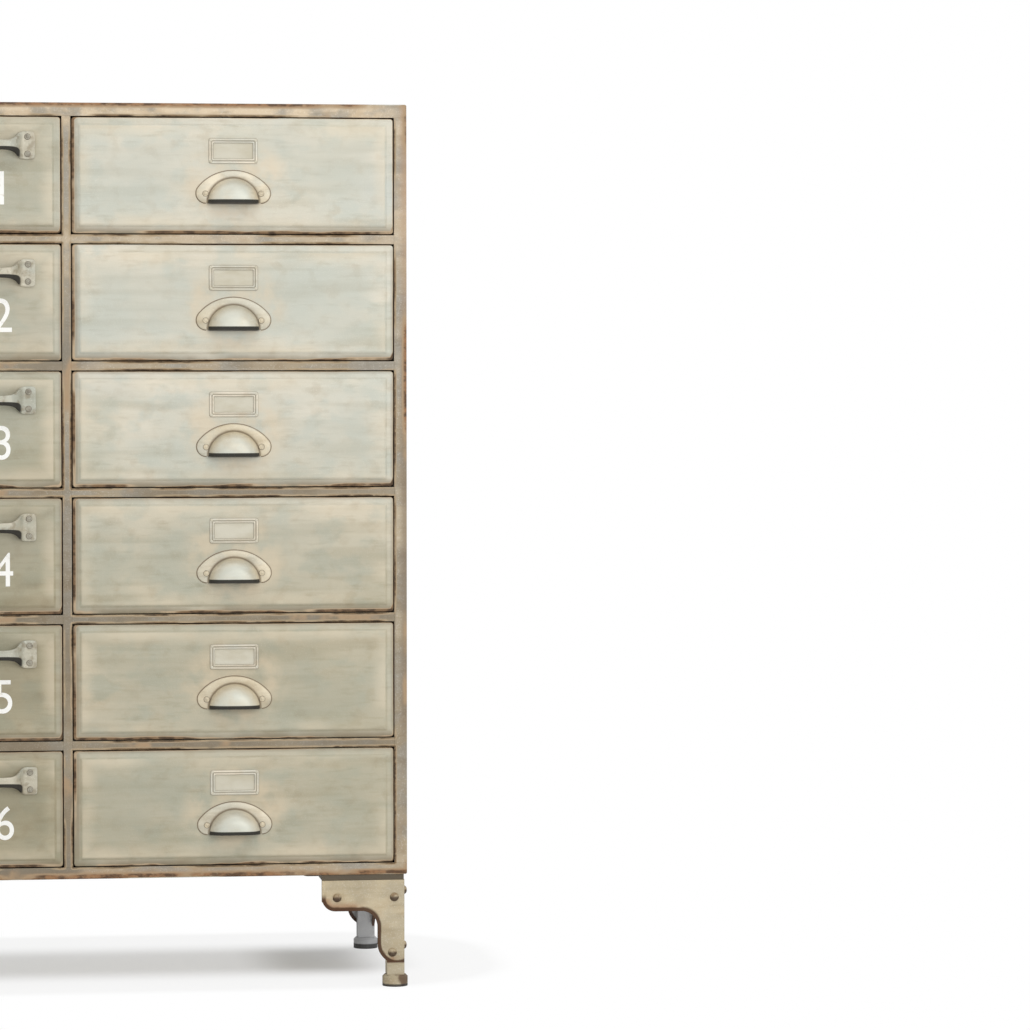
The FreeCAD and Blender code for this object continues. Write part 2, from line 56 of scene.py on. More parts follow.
class Finish:
    """A finish that is built up in coats over a piece's own shape."""

    def __init__(self, name):
        self.material = bpy.data.materials.new(name)
        self.material.use_nodes = True
        self.nodes = self.material.node_tree.nodes
        self.shader = self.nodes["Principled BSDF"]
        self.place = self.nodes.new("ShaderNodeTexCoord").outputs["Object"]

    def feed(self, socket, value):
        if isinstance(value, bpy.types.NodeSocket):
            self.material.node_tree.links.new(value, socket)
        else:
            socket.default_value = value

    def add(self, kind, inputs, output=0, **settings):
        node = self.nodes.new("ShaderNode" + kind)
        for name, value in settings.items():
            setattr(node, name, value)
        for key, value in inputs.items():
            self.feed(node.inputs[key], value)
        return node.outputs[output]

    def work(self, operation, first, second=0.0):
        return self.add("Math", {0: first, 1: second}, operation=operation)

    def times(self, first, *others):
        for other in others:
            first = self.work("MULTIPLY", first, other)
        return first

    def less(self, first, second):
        return self.work("SUBTRACT", first, second)

    def most(self, first, *others):
        for other in others:
            first = self.work("MAXIMUM", first, other)
        return first

    def least(self, first, *others):
        for other in others:
            first = self.work("MINIMUM", first, other)
        return first

    def slant(self, across, up):
        """The straight distance over two that stand square to each other."""
        squares = [self.times(way, way) for way in (across, up)]
        return self.work("SQRT", self.work("ADD", *squares))

    def along(self, axis):
        return self.add("SeparateXYZ", {0: self.place}, output="XYZ".index(axis))

    def mark(self):
        """The number that a mesh carries at each point to guide its finish."""
        return self.add("Attribute", {}, output="Fac", attribute_name="mark")

    def spread(self, share, empty, full):
        """Values from the empty one to the full one, as the share goes from 0 to 1."""
        return self.add("MapRange", {"Value": share, "To Min": empty, "To Max": full})

    def fade(self, value, empty, full):
        """0 at the empty end and 1 at the full end, easing between."""
        between = {"Value": value, "From Min": empty, "From Max": full}
        return self.add("MapRange", between, interpolation_type="SMOOTHSTEP")

    def drift(self, fineness, empty, full, run=(1, 1, 1), shift=0.0, detail=4):
        """Soft patches, so many to the metre, drawn out by a run under 1 along an axis."""
        moved = self.add("Mapping", {"Vector": self.place, "Location": (shift,) * 3, "Scale": run})
        patches = self.add("TexNoise", {"Vector": moved, "Scale": fineness, "Detail": detail})
        return self.fade(patches, empty, full)

    def blend(self, under, over, share, way="MIX"):
        coats = {0: share, 6: under, 7: over}
        return self.add("Mix", coats, output=2, data_type="RGBA", blend_type=way)

    def clouds(self, ground, cool, cream, brushed=0.5):
        """Greige paint with cool and cream drifts, brushed out sideways, under a fine fleck."""
        paint = self.blend(ground, cool, self.drift(9, 0.44, 0.68, (0.6, 1, 1)))
        paint = self.blend(paint, cream, self.drift(12, 0.5, 0.72, (0.5, 1, 1), 7))
        mottle = self.times(self.drift(34, 0.46, 0.66, (0.7, 1, 1), 51), 0.8)
        paint = self.blend(paint, cool, mottle)
        blots = self.times(self.drift(50, 0.5, 0.68, (0.8, 1, 1), 77), 0.3)
        paint = self.blend(paint, card(218, 204, 184), blots, "MULTIPLY")
        broad_strokes = self.drift(62, 0.42, 0.72, (0.09, 1, 1), 3)
        strokes = self.most(broad_strokes, self.drift(150, 0.48, 0.76, (0.16, 1, 1), 43))
        paint = self.blend(paint, card(214, 209, 196), self.times(strokes, brushed), "MULTIPLY")
        fleck = self.times(self.drift(560, 0.55, 0.7, shift=5, detail=2), 0.22)
        return self.blend(paint, card(234, 230, 218), fleck)

    def rust(self, paint, share, pale=(152, 114, 80), deep=(92, 68, 48), rim=(190, 162, 128)):
        """Rust through the paint: dark in the pits, paler at the fringe."""
        pits = self.blend(card(*pale), card(*deep), self.drift(160, 0.4, 0.62, (0.5, 1, 1), 11))
        fringe = self.blend(paint, card(*rim), self.fade(share, 0.05, 0.5))
        return self.blend(fringe, pits, self.fade(share, 0.45, 0.95))

    def cure(self, paint, roughness, relief=0.25, metallic=0.0):
        """The last step: the colour, the sheen and the fine relief of the surface."""
        self.feed(self.shader.inputs["Base Color"], paint)
        self.feed(self.shader.inputs["Roughness"], roughness)
        self.shader.inputs["Metallic"].default_value = metallic
        grain = self.drift(650, 0.3, 0.7, shift=2, detail=3)
        lumps = self.drift(90, 0.2, 0.8, shift=9, detail=2)
        height = self.work("ADD", grain, self.times(lumps, 2.0))
        bump = self.add("Bump", {"Height": height, "Strength": relief, "Distance": 0.15 * mm})
        self.feed(self.shader.inputs["Normal"], bump)
        return self.material


ROWS = range(1, 7)
drawer_gap = 1.5 * mm
folded_edge = 0.4 * mm
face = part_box("cross_rails")[0].y
cabinet_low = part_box("bottom_panel")[0]
cabinet_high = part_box("top_panel")[1]
wide_low, wide_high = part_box("drawer_front_right_1")
narrow_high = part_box("drawer_front_middle_1")[1]
row_pitch = wide_low.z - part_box("drawer_front_right_2")[0].z
row_height = wide_high.z - wide_low.z + 2 * drawer_gap
first_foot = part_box("drawer_front_right_6")[0].z - drawer_gap


def carcass_paint():
    coat = Finish("carcass_paint")
    across = coat.work("ABSOLUTE", coat.along("X"))
    height = coat.along("Z")
    depth = coat.along("Y")
    front = coat.fade(depth, face + 0.6 * mm, face + 0.1 * mm)

    # How far a spot on the frame lies from the nearest drawer opening
    beside_middle = coat.least(
        coat.less(across, narrow_high.x + drawer_gap), coat.less(wide_low.x - drawer_gap, across)
    )
    beside = coat.most(coat.less(across, wide_high.x + drawer_gap), beside_middle, 0.0)
    step = coat.work("FLOORED_MODULO", coat.less(height, first_foot), row_pitch)
    in_rail = coat.least(coat.less(step, row_height), coat.less(row_pitch, step))
    last_head = first_foot + (len(ROWS) - 1) * row_pitch + row_height
    above = coat.most(in_rail, coat.less(first_foot, height), coat.less(height, last_head), 0.0)
    from_opening = coat.slant(beside, above)

    # How far it lies from the cabinet's nearest outer fold
    to_side = coat.less(cabinet_high.x, across)
    to_face = coat.least(coat.less(depth, face), coat.less(cabinet_high.y, depth))
    to_end = coat.least(coat.less(cabinet_high.z, height), coat.less(height, cabinet_low.z))
    to_edge = coat.least(coat.most(to_side, to_face), to_end)
    from_fold = coat.most(coat.least(to_side, to_face), to_edge)

    # The ground coat is tan by the lid and a duller greige further down, partly the paint's own
    # tone and partly painted shade, which is darkest on the middle rows
    ramp = coat.nodes.new("ShaderNodeValToRGB")
    rise = {"Value": height, "From Min": 0.1, "From Max": cabinet_high.z}
    coat.feed(ramp.inputs[0], coat.add("MapRange", rise))
    ramp.color_ramp.elements[0].color = card(178, 154, 124)
    ramp.color_ramp.elements[1].color = card(214, 194, 164)
    greige = ((0.14, (162, 147, 122)), (0.46, (141, 127, 104)), (0.76, (184, 168, 143)))
    for spot, tone in greige:
        ramp.color_ramp.elements.new(spot).color = card(*tone)
    frame_paint = coat.clouds(ramp.outputs[0], card(152, 146, 134), card(188, 173, 147))
    by_base = coat.fade(height, first_foot, cabinet_low.z)
    tan = coat.times(by_base, coat.drift(9, 0.4, 0.6, shift=55), 0.7)
    frame_paint = coat.blend(frame_paint, card(178, 138, 100), tan)
    by_fold = coat.fade(to_side, 13 * mm, 2 * mm)
    rubbed = coat.times(by_fold, coat.drift(7, 0.38, 0.58, (1, 1, 0.5), 88), 0.62)
    umber = coat.blend(card(120, 100, 76), card(172, 134, 99), coat.fade(height, 0.82, 1.0))
    frame_paint = coat.blend(frame_paint, umber, rubbed)

    # Only the front has that coat: the rest of the outside is paler and cooler
    sheet_paint = coat.clouds(card(202, 195, 177), card(195, 194, 181), card(212, 204, 186), 0.15)
    paint = coat.blend(sheet_paint, frame_paint, front)

    # The stiles by the middle column and the rails lower down are painted darker, partly dirt
    # and partly painted shade
    inner_stiles = coat.times(
        coat.fade(across, wide_low.x + 20 * mm, wide_low.x), coat.fade(height, 1.05, 0.8)
    )
    rails = coat.times(
        coat.fade(beside, 3 * mm, 0.0),
        coat.fade(height, first_foot, first_foot + mm),
        coat.fade(height, 0.92, 0.62),
    )
    shade = coat.most(inner_stiles, coat.times(rails, 0.85))
    shade = coat.times(shade, coat.drift(9, 0.2, 0.6, (1, 1, 0.4), 61), front, 0.72)
    paint = coat.blend(paint, card(112, 100, 80), shade)

    # The top is paler still, partly wiped and partly a painted highlight where light falls on it
    topmost = coat.fade(height, cabinet_high.z - 0.4 * mm, cabinet_high.z - 0.1 * mm)
    wipe_and_top_light = coat.spread(coat.drift(8, 0.3, 0.62, (0.5, 1, 1), 95), 0.35, 0.8)
    paint = coat.blend(paint, card(230, 226, 215), coat.times(topmost, wipe_and_top_light))

    # Grime and painted shade gather round the openings, and rust along the outer folds and
    # the foot of the base
    grime_and_shade_by_opening = coat.times(
        coat.fade(from_opening, 4.6 * mm, 0.8 * mm),
        coat.drift(15, 0.41, 0.56, (0.5, 1, 0.4), 4),
        front,
    )
    broad = coat.work("ADD", 4 * mm, coat.times(front, 5.5 * mm))
    along_fold = coat.fade(from_fold, broad, 0.8 * mm)
    fold = coat.times(along_fold, coat.drift(12, 0.4, 0.55, (0.6, 0.6, 0.45), 20))
    base = coat.times(
        coat.fade(height, cabinet_low.z + 11 * mm, cabinet_low.z + 4 * mm),
        coat.drift(7, 0.36, 0.52, shift=66),
    )
    stain = coat.times(coat.drift(17, 0.57, 0.69, (0.8, 1, 0.5), 24), 0.5)
    fold = coat.most(fold, coat.times(coat.most(base, stain), front))
    crumbs = coat.spread(coat.drift(240, 0.1, 0.55, (0.5, 1, 1), 30), 0.5, 1.0)
    paint = coat.rust(paint, coat.times(fold, crumbs), rim=(168, 142, 111))
    grubby = coat.times(grime_and_shade_by_opening, crumbs)
    paint = coat.rust(paint, grubby, (122, 99, 71), (78, 62, 44), (172, 152, 122))
    return coat.cure(paint, coat.spread(coat.most(grime_and_shade_by_opening, fold), 0.5, 0.85), 0.35)


def give_finish(node, finish, eased=None):
    """Finishes a piece as it stands. Its edges are eased where the sheet is bent or filed."""
    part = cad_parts[node]
    part.data.materials.clear()
    part.data.materials.append(finish)
    if eased:
        part.modifiers.new("closed", "WELD").merge_threshold = 0.01 * mm
        rounding = part.modifiers.new("eased", "BEVEL")
        rounding.width = eased
        rounding.segments = 2
        rounding.limit_method = "ANGLE"
        rounding.angle_limit = math.radians(35)
        part.modifiers.new("smoothed", "WEIGHTED_NORMAL")


carcass_finish = carcass_paint()
give_finish("back_panel", carcass_finish)
for node in (
    "top_panel", "bottom_panel", "side_panel_left", "side_panel_right", "partitions", "cross_rails",
):
    give_finish(node, carcass_finish, folded_edge)


# The runners are channels of bare rolled steel, spot-welded to the walls inside. They are
# dull, with a brushed run along their length where the rims of the drawers rub.
def rolled_steel():
    coat = Finish("bare_rolled_steel")
    brushing = coat.drift(50, 0.35, 0.65, (1, 0.1, 1))
    steel = coat.blend(card(150, 148, 144), card(112, 110, 106), brushing)
    steel = coat.rust(steel, coat.drift(35, 0.62, 0.8, shift=6))
    return coat.cure(steel, coat.drift(80, -0.6, 1.6, (1, 0.05, 1)), 0.2, metallic=0.75)


give_finish("drawer_runners", rolled_steel())


# The four legs are pressed brackets, each riveted round a square post that stands on a turned
# foot and carries a plate under the cabinet. They have a warm beige paint, and dark brown wear
# and painted shade on the brackets' lower edges, and are colder and greyer on the two back legs.
bracket_low, bracket_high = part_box("leg_brackets")
arm_length = 113 * mm
arm_foot = bracket_high.z - 42 * mm
arm_end_radius = 18 * mm
stem_width = 37 * mm
throat_radius = 22 * mm
curl_height = 59 * mm
curl_radius = 28 * mm
curl_foot = 34 * mm


def leg_coat(name):
    coat = Finish(name)
    paint = coat.clouds(card(194, 178, 146), card(182, 170, 144), card(210, 194, 162))
    behind = coat.times(coat.fade(coat.along("Y"), -0.05, 0.1), 0.75)
    return coat, coat.blend(paint, card(166, 172, 182), behind)


def bracket_paint():
    coat, paint = leg_coat("bracket_paint")
    scuffs = coat.times(coat.drift(60, 0.58, 0.76, (1, 1, 0.6), 13), 0.22)
    paint = coat.rust(paint, scuffs)
    height = coat.along("Z")
    middle = (bracket_low.y + bracket_high.y) / 2
    from_side = coat.less(bracket_high.x, coat.work("ABSOLUTE", coat.along("X")))
    from_middle = coat.work("ABSOLUTE", coat.less(coat.along("Y"), middle))
    along = coat.most(from_side, coat.less(bracket_high.y - middle, from_middle))

    # How far a spot lies in from the edge under the arm, down the throat and the stem's curl
    throat = coat.slant(
        coat.most(coat.less(stem_width + throat_radius, along), 0.0),
        coat.most(coat.less(height, arm_foot - throat_radius), 0.0),
    )
    past_stem = coat.fade(along, stem_width + 12 * mm, stem_width + 20 * mm)
    tip = coat.slant(
        coat.most(coat.less(along, arm_length - arm_end_radius), 0.0),
        coat.times(coat.most(coat.less(arm_foot + arm_end_radius, height), 0.0), past_stem),
    )
    by_curl = coat.fade(height, curl_height + 7 * mm, curl_height)
    curl = coat.slant(
        coat.times(coat.less(along, stem_width - curl_radius), by_curl),
        coat.most(coat.less(curl_height, height), 0.0),
    )
    inwards = coat.least(
        coat.less(throat, throat_radius),
        coat.less(arm_end_radius, tip),
        coat.less(curl_radius, curl),
    )

    # That edge is a ragged dark brown, partly wear and partly painted shade, and a warm glow lies
    # inside it on the front legs
    ragged = coat.spread(coat.drift(45, 0.3, 0.7, shift=12), 5.4 * mm, 8.2 * mm)
    shaped = coat.times(
        coat.fade(height, curl_foot - 3 * mm, curl_foot),
        coat.fade(height, arm_foot + 25 * mm, arm_foot + 15 * mm),
    )
    worn_and_shaded = coat.times(coat.fade(inwards, ragged, 3.8 * mm), shaped)
    glow = coat.times(
        coat.fade(inwards, 15 * mm, 6 * mm),
        coat.drift(28, 0.42, 0.6, shift=15),
        shaped,
        coat.fade(coat.along("Y"), 0.1, -0.1),
    )
    paint = coat.blend(paint, card(160, 118, 82), coat.times(glow, 0.7))
    paint = coat.blend(paint, card(70, 42, 22), coat.times(worn_and_shaded, 0.94))
    return coat.cure(paint, coat.spread(worn_and_shaded, 0.55, 0.9), 0.4)


def post_paint():
    coat, paint = leg_coat("post_paint")
    # The plate, which shows over the bracket, is painted dark, partly dirt and partly painted
    # shade under the cabinet
    plate = coat.fade(coat.along("Z"), bracket_high.z - 0.5 * mm, bracket_high.z + 0.5 * mm)
    paint = coat.blend(paint, card(68, 57, 41), coat.times(plate, 0.92))
    return coat.cure(paint, 0.55, 0.4)


def foot_paint():
    coat, paint = leg_coat("foot_paint")
    height = coat.along("Z")

    # The front feet are mottled brown
    before = coat.fade(coat.along("Y"), 0.1, -0.1)
    brown = coat.times(coat.drift(36, 0.44, 0.56, shift=19), before, 0.9)
    paint = coat.blend(paint, card(92, 68, 46), brown)

    # The soles are black, and the back ones to a greater height
    behind = coat.fade(coat.along("Y"), 0.0, 0.1)
    sole = coat.fade(coat.less(height, coat.times(behind, 3.5 * mm)), 4.5 * mm, 2.5 * mm)
    paint = coat.blend(paint, card(34, 32, 31), coat.times(sole, 0.92))
    return coat.cure(paint, 0.6, 0.4)


pressed_edge = 0.9 * mm
sawn_edge = 0.5 * mm
turned_edge = 0.6 * mm
give_finish("leg_brackets", bracket_paint(), pressed_edge)
give_finish("leg_posts", post_paint(), sawn_edge)
give_finish("leg_feet", foot_paint(), turned_edge)


# Six dome-headed rivets hold each bracket: three through the front wing and three through the
# side wing, the side ones a little higher. They are painted over, with painted shade underneath.
def fitted_mesh(name, points, faces, material, body, marks, sharp):
    """A piece of its own, on the body that carries it. The marks guide its finish."""
    skin = bpy.data.meshes.new(name)
    skin.from_pydata(points, [], faces)
    if marks:
        mark = skin.attributes.new("mark", "FLOAT", "POINT")
        mark.data.foreach_set("value", marks)
    skin.shade_smooth()
    skin.set_sharp_from_angle(angle=math.radians(sharp))
    skin.materials.append(material)
    piece = bpy.data.objects.new(name, skin)
    bpy.context.scene.collection.objects.link(piece)
    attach(piece, body)
    return piece


def body_skin(name, rings, material, body, marks=None, ends=(False, True), sharp=38):
    """One skin through a row of rings with equal numbers of points, its ends closed or open."""
    count = len(rings[0])
    faces = [
        (low + spot, low + (spot + 1) % count, high + (spot + 1) % count, high + spot)
        for low, high in ((ring * count, (ring + 1) * count) for ring in range(len(rings) - 1))
        for spot in range(count)
    ]
    if ends[0]:
        faces.append(tuple(reversed(range(count))))
    if ends[1]:
        faces.append(tuple(range((len(rings) - 1) * count, len(rings) * count)))
    points = [point for ring in rings for point in ring]
    return fitted_mesh(name, points, faces, material, body, marks, sharp)


def rivet_paint():
    coat = Finish("rivet_paint")
    # The lower half of each head is painted dark brown as painted shade
    below = coat.fade(coat.mark(), 0.5, -0.2)
    paint = coat.blend(card(178, 162, 132), card(140, 116, 86), coat.drift(160, 0.4, 0.65))
    paint = coat.blend(paint, card(64, 45, 29), coat.times(below, 0.9))
    return coat.cure(paint, 0.5, 0.4, metallic=0.1)


def dome_head(name, seat, outward, radius, rise, material, body, slot, ring=None):
    """A rivet's head: a low rim and a dome, or a disc with a groove round its middle."""
    profile = (
        (1.0, 0.0), (1.0, 0.18), (0.93, 0.42), (0.78, 0.7), (0.55, 0.9), (0.3, 0.98), (0.08, 1.0),
    )
    if ring:
        profile = (
            (1.0, 0.0), (1.0, 0.5), (0.94, 0.85), (0.84, 1.0), (ring + 0.1, 0.95), (ring, 0.55),
            (ring - 0.12, 0.6), (ring - 0.2, 0.8), (0.1, 0.86),
        )
    turn = Vector((0, 0, 1)).rotation_difference(Vector(outward)).to_matrix()
    sides = 20
    angles = [math.tau * step / sides for step in range(sides)]
    spots = [
        [
            turn @ Vector((radius * out * math.cos(a), radius * out * math.sin(a), rise * up))
            for a in angles
        ]
        for out, up in profile
    ]
    # A disc is marked by how far out a spot lies, and a dome by how far above its middle
    marks = [
        out if ring else spot.z / radius
        for (out, up), level in zip(profile, spots)
        for spot in level
    ]
    rings = [[Vector(seat) + spot for spot in level] for level in spots]
    return body_skin(name, rings, material, body, marks)


rivet_finish = rivet_paint()
# Each kind of head is given by its radius and its rise
leg_rivet = (6 * mm, 4.5 * mm)
# Distance in from the bracket's corner, and height over the floor
rivet_spots = ((92.5 * mm, 122.6 * mm), (14.2 * mm, 122.6 * mm), (16.8 * mm, 46.9 * mm))
side_rivet_lift = 8 * mm
for side, edge in (("left", bracket_low.x), ("right", bracket_high.x)):
    for end, corner in (("front", bracket_low.y), ("rear", bracket_high.y)):
        out_x = math.copysign(1, edge)
        out_y = math.copysign(1, corner)
        for number, (along, height) in enumerate(rivet_spots, start=1):
            face_seat = (edge - out_x * along, corner, height)
            side_seat = (edge, corner - out_y * along, height + side_rivet_lift)
            for wing, seat, outward in (
                ("face", face_seat, (0, out_y, 0)),
                ("side", side_seat, (out_x, 0, 0)),
            ):
                name = f"leg_rivet_{side}_{end}_{wing}_{number}"
                dome_head(name, seat, outward, *leg_rivet, rivet_finish, "carcass", "legs")


# The trays are folded sheet with turned-out rims. They have the same paint, thinner and
# duller, since it was only blown in through the open top.
def tray_paint():
    coat = Finish("tray_paint")
    paint = coat.clouds(card(176, 168, 150), card(156, 154, 144), card(190, 180, 160))
    return coat.cure(coat.rust(paint, coat.drift(18, 0.6, 0.8, shift=8)), 0.62, 0.3)


tray_finish = tray_paint()
COLUMNS = ("left", "middle", "right")
for column in COLUMNS:
    for row in ROWS:
        give_finish(f"drawer_tray_{column}_{row}", tray_finish)


# A drawer's front is pressed from one sheet: a flat field, raised from a narrow border by a
# soft slope, and returns folded back all round. The paint is rubbed pale on the border, warm
# round the pulls, and brown on the very edge, most of all below.
cup_drop = 116 * mm
halo_drop = 84 * mm
wide_middle = (wide_low.x + wide_high.x) / 2


def front_paint():
    coat = Finish("drawer_front_paint")
    inset = coat.mark()
    height = coat.along("Z")
    across = coat.work("ABSOLUTE", coat.along("X"))
    step = coat.work("FLOORED_MODULO", coat.less(height, first_foot), row_pitch)

    # The ground coat, with a few broad drifts of blue and olive
    paint = coat.clouds(card(210, 205, 188), card(195, 198, 186), card(224, 216, 198))
    blue = coat.times(coat.drift(6, 0.54, 0.74, (0.6, 1, 1), 21), 0.3)
    paint = coat.blend(paint, card(192, 200, 199), blue)
    olive = coat.times(coat.drift(5, 0.5, 0.7, (0.7, 1, 1), 33), 0.3)
    paint = coat.blend(paint, card(184, 178, 152), olive)

    # The middle of a field is left grey where the margins are rubbed warm
    middle = coat.times(
        coat.fade(inset, 16 * mm, 50 * mm), coat.drift(9, 0.3, 0.6, (0.5, 1, 1), 71), 0.5
    )
    paint = coat.blend(paint, card(192, 193, 180), middle)

    # The drawers are painted darker lower down as painted shade, and those of the middle column
    # are darker too
    low_painted_shade = coat.times(coat.fade(height, 0.82, 0.5), 0.95)
    paint = coat.blend(paint, card(222, 218, 206), low_painted_shade, "MULTIPLY")
    middle_column_darker = coat.fade(across, wide_low.x, narrow_high.x)
    paint = coat.blend(paint, card(228, 224, 214), middle_column_darker, "MULTIPLY")

    # A warm halo lies round the cup pull and its label holder, and a painted shadow under the cup's
    # mouth
    from_middle = coat.less(across, wide_middle)
    from_pull = coat.slant(coat.times(from_middle, 0.8), coat.less(step, row_height - halo_drop))
    halo = coat.times(
        coat.fade(from_pull, 66 * mm, 42 * mm), coat.drift(30, 0.35, 0.62, shift=41), 0.5
    )
    paint = coat.blend(paint, card(217, 198, 168), halo)
    below = coat.less(row_height - cup_drop, step)
    painted_cup_shadow = coat.times(
        coat.fade(coat.work("ABSOLUTE", from_middle), 37 * mm, 31 * mm),
        coat.fade(below, 2.4 * mm, 0.8 * mm),
        coat.fade(below, -2 * mm, -1 * mm),
        0.85,
    )
    paint = coat.blend(paint, card(66, 60, 52), painted_cup_shadow)

    # The field is warm along its rim, the border is pale, and grime fills the foot of the slope
    warm = coat.times(
        coat.fade(inset, 10 * mm, 12 * mm),
        coat.fade(inset, 34 * mm, 12 * mm),
        coat.drift(14, 0.35, 0.62, (0.6, 1, 1), 17),
        0.45,
    )
    paint = coat.blend(paint, card(222, 208, 182), warm)
    border = coat.times(
        coat.fade(inset, 9.2 * mm, 7.5 * mm), coat.drift(20, 0.3, 0.6, (0.5, 1, 1), 37), 0.18
    )
    paint = coat.blend(paint, card(219, 213, 197), border)
    grime = coat.times(
        coat.fade(inset, 8 * mm, 9 * mm),
        coat.fade(inset, 10.6 * mm, 9.4 * mm),
        coat.drift(28, 0.35, 0.6, (0.5, 1, 1), 47),
        0.22,
    )
    paint = coat.blend(paint, card(160, 148, 124), grime)

    # Dust and painted shade lie on the foot of the border and on its side by the middle column.
    # Below the top row they lie thinly on the rest of the border too
    from_inner = coat.work("ABSOLUTE", coat.less(across, wide_low.x))
    low_border = coat.times(coat.fade(step, 16 * mm, 2.5 * mm), 0.8)
    side_border = coat.times(coat.fade(from_inner, 11 * mm, 5 * mm), 0.62)
    any_border = coat.times(coat.fade(inset, 5.5 * mm, 0.5 * mm), coat.fade(height, 1.05, 0.95))
    dust_and_shade = coat.most(low_border, side_border, coat.times(any_border, 0.45))
    dust_and_shade = coat.times(dust_and_shade, coat.drift(20, 0.1, 0.55, (0.6, 1, 0.6), 91))
    paint = coat.blend(paint, card(122, 107, 82), dust_and_shade)

    # The edges are rubbed brown, more so along the foot and on the side by the middle column,
    # where the brown is partly painted shade
    foot = coat.times(coat.fade(step, 14 * mm, 2 * mm), coat.drift(9, 0.38, 0.56, (0.6, 1, 1), 81))
    inner = coat.fade(from_inner, 8 * mm, 1 * mm)
    heavy = coat.most(foot, inner)
    reach_in = coat.work("ADD", 1.3 * mm, coat.times(heavy, 6.5 * mm))
    edge = coat.fade(inset, reach_in, coat.times(heavy, 2.6 * mm))
    worn_off = coat.drift(15, 0.36, 0.54, (0.6, 1, 0.5), 27)
    edge = coat.times(edge, worn_off, coat.drift(220, -0.3, 0.5, (0.5, 1, 1), 31))
    paint = coat.rust(paint, edge, (128, 102, 74), (78, 60, 42), (184, 162, 132))
    return coat.cure(paint, coat.spread(edge, 0.48, 0.85), 0.3)


def rounded_outline(width, height, radius, steps=4):
    """Points round a rectangle with rounded corners, as seen from the front."""
    return [
        (
            east * (width / 2 - radius) + radius * math.cos(angle),
            north * (height / 2 - radius) + radius * math.sin(angle),
        )
        for turn, (east, north) in enumerate(((1, -1), (1, 1), (-1, 1), (-1, -1)))
        for angle in (math.radians(90 * (turn - 1 + step / steps)) for step in range(steps + 1))
    ]


def pressed_rings(low, high, back, profile, corner, least_corner):
    """Rounded rectangles, each so far in from the edge and so far behind the plane given."""
    middle = (low + high) / 2
    size = high - low
    return [
        [
            (middle.x + across, back + depth, middle.z + up)
            for across, up in rounded_outline(
                size.x - 2 * inset, size.z - 2 * inset, max(corner - inset, least_corner)
            )
        ]
        for inset, depth in profile
    ]


front_finish = front_paint()
front_corner = 4 * mm
field_corner = 1.2 * mm
front_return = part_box("drawer_tray_right_1")[0].y - face
field_stand = 3 * mm
border_stand = 1 * mm
# Distance in from the edge, and how far the skin stands behind the carcass's front there
PRESSING = (
    (1.3 * mm, front_return),
    (0.0, front_return - 0.2 * mm),
    (0.0, 0.3 * mm),
    (0.2 * mm, -0.35 * border_stand),
    (0.7 * mm, -0.8 * border_stand),
    (1.5 * mm, -border_stand),
    (5 * mm, -border_stand),
    (7.6 * mm, -border_stand),
    (8.8 * mm, -1.2 * mm),
    (10.2 * mm, -2.0 * mm),
    (11.6 * mm, -2.75 * mm),
    (13.2 * mm, -field_stand),
    (26 * mm, -field_stand),
    (60 * mm, -field_stand),
)
for column in COLUMNS:
    for row in ROWS:
        low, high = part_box(f"drawer_front_{column}_{row}")
        rings = pressed_rings(low, high, face, PRESSING, front_corner, field_corner)
        marks = [inset for (inset, depth), ring in zip(PRESSING, rings) for point in ring]
        name = f"pressed_front_{column}_{row}"
        body = f"drawer_{column}_{row}"
        pressed = body_skin(name, rings, front_finish, body, marks)
        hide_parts(f"drawer_front_{column}_{row}")


# The cup pulls on the wide drawers are pressed from sheet: an arched flange with a round ear
# at each end, and a half dome that is open below. They are painted cream with the drawers,
# with dirt and painted shade in the seams, painted shade on the dome's brim and inside it, and
# fingers have polished the dome.
def cup_paint():
    coat = Finish("cup_paint")
    # The marks run from -1 on the flange's edge, over 0 in the seam, to 1 on the crown. Outside
    # the flange they are lower still, and inside the dome they are 2
    mark = coat.mark()
    paint = coat.clouds(card(210, 198, 172), card(194, 190, 174), card(222, 211, 188))
    polished = coat.times(coat.fade(mark, 0.15, 0.7), coat.drift(40, 0.1, 0.6, shift=3))
    paint = coat.blend(paint, card(203, 206, 195), coat.times(polished, 0.75))
    step = coat.work("FLOORED_MODULO", coat.less(coat.along("Z"), first_foot), row_pitch)
    over = coat.less(step, row_height - cup_drop)
    # The dome's lowest few millimetres are painted nearly black as painted shade
    brim = coat.times(coat.fade(over, 5 * mm, 4.2 * mm), coat.fade(mark, 0.04, 0.12))
    # Dirt and painted shade darken the seam round the dome and the flange's outer edge
    seam = coat.times(coat.fade(mark, -0.3, -0.08), coat.fade(mark, 0.16, 0.0), 0.7)
    dirt_and_shade = coat.most(seam, coat.times(coat.fade(mark, -0.86, -1.0), 0.85))
    paint = coat.blend(paint, card(108, 90, 66), dirt_and_shade)
    paint = coat.blend(paint, card(28, 25, 20), coat.times(brim, 0.96))
    # Inside, the dome is painted dark as painted shade
    paint = coat.blend(paint, card(38, 33, 27), coat.fade(mark, 1.2, 1.6))
    return coat.cure(paint, coat.spread(brim, 0.42, 0.85), 0.2, metallic=0.15)


cup_half = 50 * mm
ear = 13 * mm
arch = 60.9 * mm
ear_x = cup_half - ear
arch_z = ear - math.sqrt((arch - ear) ** 2 - ear_x**2)
plate = 1.8 * mm
dome_radius = 34.5 * mm
dome_stretch = 0.965
cup_reach = face - field_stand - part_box("drawer_front_right_1")[0].y
dirt_and_shade_seam = 1.2 * mm
